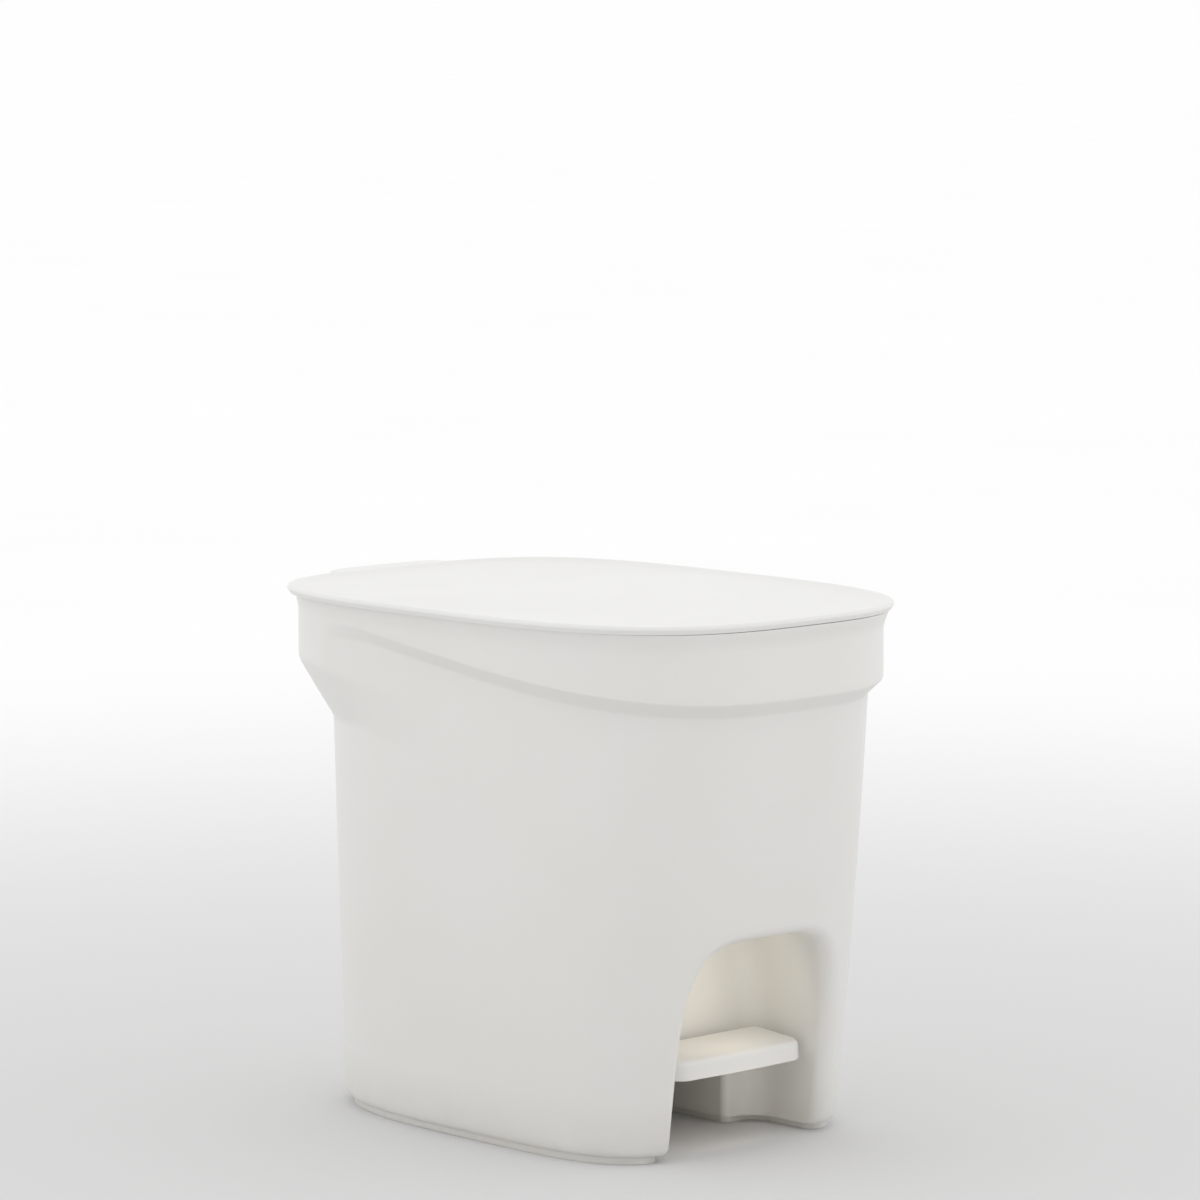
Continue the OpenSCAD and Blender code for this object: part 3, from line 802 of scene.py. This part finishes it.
# ---------------------------------------------------------------- pedal
TREAD_HALF, TREAD_DEPTH, TREAD_DROP, TREAD_T = PEDAL_HIGH[0], 35.5, 9, 2.4
TREAD_TOP, TREAD_BACK = 47.3, -66.5
TREAD_FRONT_R, TREAD_BACK_R = 9, 6
TREAD_TILT = math.radians(4.5)
TREAD_BOW = 1.1
HUB_R, SLEEVE_R = 7.5, 5
ARM_IN, ARM_T = 11.5, 3.2
EYE_R, EYE_PLAY = 4.4, 0.4

# Ties between the arms: [front, back, bottom, top]
TIES = ((PIVOT_Y + 12, PIVOT_Y + 15, 13, 24), (70, 73, 9, 18))


def tread_ring(inset, drop):
    """Rounded rectangle of the tread, its front edge slightly bowed, tilted about its back edge."""
    half, front, back = TREAD_HALF - inset, -TREAD_DEPTH + inset, -inset
    r_front, r_back = max(TREAD_FRONT_R - inset, 3), max(TREAD_BACK_R - inset, 1)
    right = arc(half - r_back, back - r_back, r_back, 90, 0, 14)
    right += [(half, y) for y in np.linspace(back - r_back, front + r_front, 8)[1:-1]]
    right += arc(half - r_front, front + r_front, r_front, 0, -90, 14)
    right += [(x, front) for x in np.linspace(half - r_front, 0, 12)[1:]]
    left = [(-x, y) for x, y in reversed(right[:-1])]
    back_edge = [(x, back) for x in np.linspace(-half + r_back, half - r_back, 22)[1:-1]]
    ring = np.array(right + left + back_edge)
    bow = TREAD_BOW * (ring[:, 0] / TREAD_HALF) ** 2
    y = ring[:, 1] * (1 - bow / TREAD_DEPTH)
    z = np.full(len(y), -float(drop))
    c, s = math.cos(TREAD_TILT), math.sin(TREAD_TILT)
    return np.stack([ring[:, 0], TREAD_BACK + c * y - s * z, TREAD_TOP + s * y + c * z], -1)


def tread():
    rows = swept(
        [
            tread_ring(9, TREAD_T),
            tread_ring(3.2, TREAD_T),
            tread_ring(TREAD_T, TREAD_DROP),
            tread_ring(0, TREAD_DROP),
            tread_ring(0.9, 0),
            tread_ring(9, 0),
        ],
        [0.8, 0.5, 0.6, 2.6],
        [2, 4, 1, 4, 3],
        6,
    )
    return solid("tread", rows)


def pedal():
    parts = [tread()]
    rear = ROD_Y - PIVOT_Y
    swing = math.hypot(rear, PIVOT_Z - ROD_LOW_Z) - rear
    eye = arc(ROD_Y, ROD_LOW_Z, ROD_R + EYE_PLAY, -90, 90)
    eye += arc(ROD_Y - swing, ROD_LOW_Z, ROD_R + EYE_PLAY, 90, 270)
    arm = [(-97, TREAD_TOP - 4.3), (-97, 38), (-72, 31), (PIVOT_Y, PIVOT_Z - HUB_R)]
    arm += arc(ROD_Y, ROD_LOW_Z, EYE_R, -90, 90)
    arm += [(PIVOT_Y, PIVOT_Z + HUB_R), (-62, 39.5), (-69, TREAD_TOP - 1.5)]
    bore = AXLE_R + PIN_PLAY
    holes = [circle(PIVOT_Y, PIVOT_Z, bore), eye]
    for s in (1, -1):
        parts.append(plate("arm", [arm] + holes, *span(s, ARM_IN, ARM_IN + ARM_T), 0.4))
    tie = ARM_IN + 0.5
    for y0, y1, z0, z1 in TIES:
        parts.append(brick("tie", [-tie, y0, z0], [tie, y1, z1], 0.5))
    sleeve = [(-tie, bore), (-tie, SLEEVE_R), (tie, SLEEVE_R), (tie, bore), (-tie, bore)]
    parts.append(lathe("sleeve", sleeve, PIVOT_Y, PIVOT_Z))
    return joined("pedal_lever", parts)


# ---------------------------------------------------------------- bucket and bail
BUCKET_TOP = np.array([88, 114, 114, 3.2, 3.6])
BUCKET_LOW = np.array([78, 101, 101, 3.6, 3.4])
BUCKET_TOP_Y, BUCKET_LOW_Y = -14, -5
BUCKET_FLOOR, BUCKET_RIM = 56, 238
BUCKET_T, FLANGE_W, FLANGE_T = 1.8, 4, 2
BUCKET_GAP = 3
BUCKET_SOLID = 222
BAIL_Z, BAIL_R, BAIL_HALF, BAIL_FRONT = 241.3, 1.8, 90.6, 110.8
EAR_X, EAR_T, EAR_R = 86.5, 2, 3.6


def bucket_ring(a, inset, z, at=None):
    """Ring at height z with the bucket's outline of that height, or of height `at`."""
    t = ((z if at is None else at) - BUCKET_FLOOR) / (BUCKET_RIM - BUCKET_FLOOR)
    plan = shrink([mix(p, q, t) for p, q in zip(BUCKET_LOW, BUCKET_TOP)], inset)
    return polar(reach(plan, a), a, z) + [0, mix(BUCKET_LOW_Y, BUCKET_TOP_Y, t), 0]


def bucket():
    a = even_angles(BUCKET_TOP, 320)
    under = BUCKET_RIM - FLANGE_T
    outer = swept(
        [
            bucket_ring(a, 9, BUCKET_FLOOR),
            bucket_ring(a, 0, BUCKET_FLOOR),
            bucket_ring(a, 0, under),
            bucket_ring(a, -FLANGE_W, under, BUCKET_RIM),
            bucket_ring(a, -FLANGE_W, BUCKET_RIM),
            bucket_ring(a, BUCKET_T, BUCKET_RIM),
            bucket_ring(a, BUCKET_T, BUCKET_SOLID),
        ],
        [4, 0.8, 0.6, 0.6, 0.7],
        [1, 20, 2, 2, 3, 4],
        5,
    )
    shell = solid("bucket_shell", outer)
    carve(shell, niche_block(NICHE_CUT_R, WALL + BUCKET_GAP))
    low = BUCKET_FLOOR + BUCKET_T
    inset = BUCKET_T + 0.03
    inner = swept(
        [
            bucket_ring(a, 9, low),
            bucket_ring(a, inset, low),
            bucket_ring(a, inset, BUCKET_SOLID),
            bucket_ring(a, inset, BUCKET_SOLID + 1, BUCKET_SOLID),
        ],
        [3, 0],
        [1, 16, 1],
        5,
    )
    hollow = solid("bucket_hollow", inner)
    carve(hollow, niche_block(NICHE_CUT_R + BUCKET_T, WALL + BUCKET_GAP + BUCKET_T))
    carve(shell, hollow)
    parts = [shell]
    root = BUCKET_RIM - 0.8
    ear = arc(BUCKET_TOP_Y, BAIL_Z, EAR_R, 0, 180)
    ear += [(BUCKET_TOP_Y - EAR_R, root), (BUCKET_TOP_Y + EAR_R, root)]
    hole = circle(BUCKET_TOP_Y, BAIL_Z, BAIL_R + PIN_PLAY, 32)
    for s in (-1, 1):
        parts.append(plate("ear", [ear, hole], *span(s, EAR_X, EAR_X + EAR_T), 0.3))
    return joined("bucket_moulding", parts)


def bail():
    """Wire bail folded along the rim, its ends turned in through the bucket's ears."""
    a = np.linspace(math.pi, 2 * math.pi, 120)[1:-1]
    r = reach([BAIL_HALF, BAIL_FRONT + 7.5, BAIL_FRONT, 2.7, 3], a)
    across, along = r * np.cos(a), np.maximum(r * np.sin(a), -BAIL_FRONT)
    turn = [(EAR_X - 1.5, 0), (EAR_X + 0.5, 0), (BAIL_HALF - 1.4, -0.1), (BAIL_HALF - 0.4, -0.6)]
    path = [(-x, BUCKET_TOP_Y + y, BAIL_Z) for x, y in turn]
    path += [(x, BUCKET_TOP_Y + y, BAIL_Z) for x, y in zip(across, along)]
    path += [(x, BUCKET_TOP_Y + y, BAIL_Z) for x, y in reversed(turn)]
    return tube("bail_wire", path, BAIL_R)


def bail_grip():
    half, skin_r, bore = GRIP_HIGH[0], BAIL_R + 1.4, BAIL_R + 0.1
    ribs, steps, depth, plain = 16, 8, 0.35, 4
    x = np.linspace(-half + plain, half - plain, ribs * steps + 1)
    wave = skin_r - depth * (0.5 - 0.5 * np.cos(np.arange(len(x)) / steps * 2 * math.pi))
    end = [(-half, bore), (-half, skin_r - 0.5)]
    end += [(-half + 0.2, skin_r - 0.15), (-half + 0.6, skin_r)]
    profile = end + list(zip(x, wave)) + [(-x, r) for x, r in reversed(end)]
    return lathe("bail_sleeve", profile + profile[:1], BUCKET_TOP_Y - BAIL_FRONT, BAIL_Z, count=32)


# ---------------------------------------------------------------- rods and caps
CAP_GAP, ARM_CAP_GAP, SHAFT_OVER = 0.3, 0.4, 3


def push_cap(name, shaft_r, side, x0, y, z):
    """Push-on cap on a shaft's end, from its inner face at x0 outwards."""
    flat, dome = shaft_r + 1.9, shaft_r + 1
    profile = [
        (x0, shaft_r),
        (x0, flat - 0.2),
        (x0 + 0.2, flat),
        (x0 + 0.6, flat),
        (x0 + 0.8, flat - 0.2),
        (x0 + 0.85, dome + 0.1),
        (x0 + 1.4, dome),
        (x0 + 1.6, dome - 0.25),
        (x0 + 1.6, shaft_r),
        (x0, shaft_r),
    ]
    return lathe(name, profile, y, z, flip=side < 0)


def push_rod():
    """Vertical wire with a leg bent out at each end, one for the pedal and one for the lid."""
    r, leg = 4, ARM_IN + ARM_T + 2.6
    low = [(x, ROD_LOW_Z) for x in np.linspace(leg, r, 6)[:-1]]
    low += arc(r, ROD_LOW_Z + r, r, 270, 180, 12)
    top = [(x, ROD_TOP_Z + ROD_LOW_Z - z) for x, z in reversed(low)]
    shaft = [(0, z) for z in np.linspace(low[-1][1], top[0][1], 12)[1:-1]]
    return tube("lift_rod", [(x, ROD_Y, z) for x, z in low + shaft + top], ROD_R)


# ---------------------------------------------------------------- materials
class Finish:
    """A node material under construction, with object coordinates in metres."""

    def __init__(self, name):
        self.material = bpy.data.materials.new(name)
        self.material.use_nodes = True
        self.tree = self.material.node_tree
        self.shader = self.tree.nodes["Principled BSDF"]
        self.where = self.add("ShaderNodeTexCoord").outputs["Object"]

    def add(self, kind, inputs=(), **settings):
        node = self.tree.nodes.new(kind)
        for key, value in settings.items():
            setattr(node, key, value)
        for key, value in dict(inputs).items():
            if isinstance(value, bpy.types.NodeSocket):
                self.tree.links.new(value, node.inputs[key])
            else:
                node.inputs[key].default_value = value
        return node

    def noise(self, scale, detail=3, rough=0.5, stretch=(1, 1, 1), warp=0.0):
        mapped = self.add("ShaderNodeMapping", {"Vector": self.where, "Scale": stretch})
        inputs = {"Vector": mapped.outputs[0], "Scale": scale, "Detail": detail}
        inputs |= {"Roughness": rough, "Distortion": warp}
        return self.add("ShaderNodeTexNoise", inputs).outputs["Fac"]

    def remap(self, value, low, high, to_low=0.0, to_high=1.0):
        inputs = {"Value": value, "From Min": low, "From Max": high}
        inputs |= {"To Min": to_low, "To Max": to_high}
        return self.add("ShaderNodeMapRange", inputs).outputs[0]

    def times(self, one, two, operation="MULTIPLY"):
        return self.add("ShaderNodeMath", {0: one, 1: two}, operation=operation).outputs[0]

    def tone(self, share, one, two):
        node = self.add("ShaderNodeMix", data_type="RGBA")
        self.tree.links.new(share, node.inputs[0])
        for socket, value in zip(node.inputs[6:8], (one, two)):
            if isinstance(value, bpy.types.NodeSocket):
                self.tree.links.new(value, socket)
            else:
                socket.default_value = (*value, 1)
        return node.outputs[2]

    def bump(self, height, strength, distance, below=None):
        inputs = {"Height": height, "Strength": strength, "Distance": distance}
        if below:
            inputs["Normal"] = below
        return self.add("ShaderNodeBump", inputs).outputs["Normal"]

    def use(self, **sockets):
        for name, value in sockets.items():
            socket = self.shader.inputs[name.replace("_", " ")]
            if isinstance(value, bpy.types.NodeSocket):
                self.tree.links.new(value, socket)
            else:
                socket.default_value = value
        return self.material


def height_of(finish):
    split = finish.add("ShaderNodeSeparateXYZ", {"Vector": finish.where})
    return split.outputs["Z"]


def moulded_plastic(name, colour, roughness, grain=0.05, painted_low_shade=0.0):
    """Satin moulded plastic: faint blotches, sparse scuffs, a fine grain, a wavy skin and, if
    asked, painted shade near the floor.
    """
    f = Finish(name)
    colour = np.array(colour)
    blotch = f.remap(f.noise(11, 4, 0.55, warp=0.4), 0.3, 0.7)
    base = f.tone(blotch, tuple(colour * (0.982, 0.979, 0.972)), tuple(colour))
    scuff = f.remap(f.noise(90, 6, 0.7, stretch=(1, 1, 9), warp=0.6), 0.68, 0.8)
    marks = f.times(scuff, f.remap(f.noise(16, 2), 0.5, 0.75))
    base = f.tone(f.times(marks, 0.35), base, tuple(colour * (0.86, 0.85, 0.83)))
    # painted shade: the lowest 30 mm turn darker and warmer towards the floor, blotched by noise
    if painted_low_shade:
        near = f.remap(height_of(f), 0.0, 0.03, 1.0, 0.0)
        low_shade_mask = f.times(near, f.remap(f.noise(45, 5, 0.65), 0.25, 0.75, 0.35, 1.0))
        base = f.tone(f.times(low_shade_mask, painted_low_shade), base, tuple(colour * (0.74, 0.71, 0.66)))
    rough = f.remap(f.noise(26, 5, 0.6), 0.25, 0.75, roughness - 0.05, roughness + 0.06)
    rough = f.times(rough, f.times(marks, 0.12), "ADD")
    waves = f.bump(f.noise(7, 1, 0.3), 0.10, 0.004)
    skin = f.bump(f.noise(2400, 2, 0.6), grain, 0.00006, waves)
    return f.use(Base_Color=base, Roughness=rough, Normal=skin, IOR=1.46)


def drawn_metal(name, colour, roughness, along, spangle):
    """Plated or spring steel: a mottled tone, with fine marks drawn along one axis."""
    f = Finish(name)
    colour = np.array(colour)
    cells = f.add("ShaderNodeTexVoronoi", {"Vector": f.where, "Scale": spangle}).outputs["Distance"]
    mottle = f.times(f.remap(cells, 0.1, 0.7), f.noise(160, 4, 0.6))
    base = f.tone(mottle, tuple(colour), tuple(colour * (0.74, 0.75, 0.78)))
    drawn = f.noise(1500, 3, 0.6, stretch=along)
    rough = f.remap(drawn, 0.3, 0.7, roughness - 0.07, roughness + 0.1)
    return f.use(
        Base_Color=base, Roughness=rough, Normal=f.bump(drawn, 0.15, 0.00004), Metallic=1.0
    )


def finishes():
    along_x, along_z = (0.02, 1, 1), (1, 1, 0.02)
    return {
        # the casing and the pedal (its fifth argument) get painted shade near the floor
        "casing": moulded_plastic("casing_plastic", (0.83, 0.822, 0.80), 0.36, painted_low_shade=0.5),
        "lid": moulded_plastic("lid_plastic", (0.85, 0.845, 0.83), 0.34),
        "pedal": moulded_plastic("pedal_plastic", (0.83, 0.822, 0.80), 0.40, 0.08, 0.5),
        "bucket": moulded_plastic("bucket_plastic", (0.58, 0.58, 0.565), 0.48, 0.10),
        "grip": moulded_plastic("grip_plastic", (0.80, 0.795, 0.78), 0.42, 0.08),
        "steel": drawn_metal("plated_steel", (0.62, 0.63, 0.64), 0.30, along_x, 900),
        "rod_steel": drawn_metal("rod_steel", (0.62, 0.63, 0.64), 0.30, along_z, 900),
        "spring_steel": drawn_metal("spring_steel", (0.50, 0.51, 0.53), 0.34, (1, 1, 1), 1600),
    }


# ---------------------------------------------------------------- camera and light
CAMERA_TURN, CAMERA_PITCH = math.radians(-43.5), math.radians(6.72)
CAMERA_AT, CAMERA_LENS, CAMERA_SENSOR = (-1791.6, -1898.3, 552.6), 167.84, 36


def camera():
    data = bpy.data.cameras.new("camera")
    data.lens, data.sensor_width = CAMERA_LENS, CAMERA_SENSOR
    obj = linked("camera", data)
    obj.location = np.array(CAMERA_AT) * MM
    obj.rotation_euler = (math.pi / 2 - CAMERA_PITCH, 0, CAMERA_TURN)
    bpy.context.scene.camera = obj


def area(name, place_at, way, size, power, tint):
    data = bpy.data.lights.new(name, "AREA")
    data.shape, data.size, data.size_y = "ELLIPSE", size[0], size[1]
    data.energy, data.color = power, tint
    obj = linked(name, data)
    obj.location = place_at
    obj.rotation_euler = Vector(way).to_track_quat("-Z", "Y").to_euler()


# Light from around: [share of the turn from behind the object to the camera, radiance]
AROUND = [(0.0, 1.0), (0.45, 1.14), (0.76, 0.98), (1.0, 0.62)]
OVERHEAD, OVERHEAD_FADE = 0.98, (0.25, 0.95)

# The floor's tone near the bin, darkened there as painted shadow, and far from it, in metres
FLOOR_SHADED, FLOOR_FAR, FLOOR_FADE, FLOOR_R = 0.73, 1.0, (0.25, 1.7), 90

# Lights in the niche: [name, distance from its back, height, tilt, size, power]
NICHE_LIGHTS = (
    ("niche", 42, 71, 0, (0.055, 0.04), 0.0053),
    ("slot", 47, 13, 0.6, (0.06, 0.014), 0.0028),
)
WARM = (1, 0.88, 0.68)


def sky():
    """World light: white behind and beside the object, dimmer behind the camera."""
    world = bpy.data.worlds.new("studio")
    bpy.context.scene.world = world
    world.use_nodes = True
    tree = world.node_tree
    back = tree.nodes["Background"]
    back.inputs["Color"].default_value = (1, 1, 1, 1)
    way = tree.nodes.new("ShaderNodeTexCoord").outputs["Generated"]
    facing = tree.nodes.new("ShaderNodeVectorMath")
    facing.operation = "DOT_PRODUCT"
    facing.inputs[1].default_value = (math.sin(CAMERA_TURN), -math.cos(CAMERA_TURN), 0)
    tree.links.new(way, facing.inputs[0])
    share = tree.nodes.new("ShaderNodeMapRange")
    share.inputs["From Min"].default_value = -1
    tree.links.new(facing.outputs["Value"], share.inputs["Value"])
    around = tree.nodes.new("ShaderNodeFloatCurve")
    curve = around.mapping.curves[0]
    top = max(v for _, v in AROUND)
    for i, (at, level) in enumerate(AROUND):
        point = curve.points[i] if i < 2 else curve.points.new(at, level / top)
        point.location = (at, level / top)
    around.mapping.update()
    tree.links.new(share.outputs[0], around.inputs["Value"])
    level = tree.nodes.new("ShaderNodeMath")
    level.operation = "MULTIPLY"
    level.inputs[1].default_value = top
    tree.links.new(around.outputs[0], level.inputs[0])
    split = tree.nodes.new("ShaderNodeSeparateXYZ")
    tree.links.new(way, split.inputs[0])
    up = tree.nodes.new("ShaderNodeMapRange")
    for end, value in zip(("From Min", "From Max"), OVERHEAD_FADE):
        up.inputs[end].default_value = value
    up.interpolation_type = "SMOOTHSTEP"
    tree.links.new(split.outputs["Z"], up.inputs["Value"])
    blend = tree.nodes.new("ShaderNodeMix")
    tree.links.new(up.outputs[0], blend.inputs[0])
    tree.links.new(level.outputs[0], blend.inputs[2])
    blend.inputs[3].default_value = OVERHEAD
    tree.links.new(blend.outputs[0], back.inputs["Strength"])


def pale_floor():
    data = bpy.data.meshes.new("floor")
    work = bmesh.new()
    bmesh.ops.create_circle(work, cap_ends=True, segments=96, radius=FLOOR_R)
    work.to_mesh(data)
    work.free()
    floor = linked("floor", data)
    f = Finish("floor_paper")
    far = f.add("ShaderNodeVectorMath", {0: f.where}, operation="LENGTH").outputs["Value"]
    share = f.add(
        "ShaderNodeMapRange",
        {"Value": far, "From Min": FLOOR_FADE[0], "From Max": FLOOR_FADE[1]},
        interpolation_type="SMOOTHSTEP",
    ).outputs[0]
    share = f.times(share, f.remap(f.noise(3, 3), 0.3, 0.7, 0.97, 1.0))
    # painted shadow: the floor is darker near the bin and fades to white further out
    tone = f.tone(share, (FLOOR_SHADED,) * 3, (FLOOR_FAR,) * 3)
    data.materials.append(f.use(Base_Color=tone, Roughness=0.9, Specular_IOR_Level=0.0))


def studio():
    bpy.context.scene.view_settings.view_transform = "Standard"
    sky()
    pale_floor()
    for name, out, z, rise, size, power in NICHE_LIGHTS:
        area(name, place(0, NICHE_BACK - out, z), (0, 1, rise), size, power, WARM)


FINISHES = finishes()


def dress(obj, node, ridden, material_slot, angle=32, finish=None):
    """Puts a finished piece in the place of its CAD node."""
    smooth(obj, angle)
    obj.data.materials.clear()
    obj.data.materials.append(FINISHES[finish or material_slot])
    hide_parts(node)
    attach(obj, ridden)


hinge_cap_x, axle_cap_x = HINGE_EAR_OUT + CAP_GAP, AXLE_EAR_OUT + CAP_GAP
arm_cap_x = ARM_IN + ARM_T + ARM_CAP_GAP
hinge_end, axle_end = HINGE_EAR_OUT + SHAFT_OVER, AXLE_EAR_OUT + SHAFT_OVER
dress(casing(), "casing", "shell", "casing")
dress(lid(), "lid", "lid", "lid")
dress(pedal(), "pedal", "pedal", "pedal")
dress(bucket(), "bucket", "shell", "bucket")
dress(bail(), "bail", "shell", "steel", 50)
dress(bail_grip(), "bail_grip", "shell", "grip", 50)
dress(rod("hinge_pin", ROD_R, hinge_end, HINGE_Y, HINGE_Z), "hinge_rod", "shell", "steel")
dress(rod("axle_pin", AXLE_R, axle_end, PIVOT_Y, PIVOT_Z), "pedal_axle", "shell", "steel")
dress(push_rod(), "push_rod", "rod", "steel", 50, "rod_steel")
for side, word in ((-1, "left"), (1, "right")):
    cap = push_cap("hinge_push_cap_" + word, ROD_R, side, hinge_cap_x, HINGE_Y, HINGE_Z)
    dress(cap, "hinge_cap_" + word, "shell", "spring_steel")
    cap = push_cap("axle_push_cap_" + word, AXLE_R, side, axle_cap_x, PIVOT_Y, PIVOT_Z)
    dress(cap, "axle_clip_" + word, "shell", "spring_steel")
for word, z in (("top", ROD_TOP_Z), ("bottom", ROD_LOW_Z)):
    cap = push_cap("rod_push_cap_" + word, ROD_R, 1, arm_cap_x, ROD_Y, z)
    dress(cap, "rod_clip_" + word, "rod", "spring_steel")

camera()
studio()
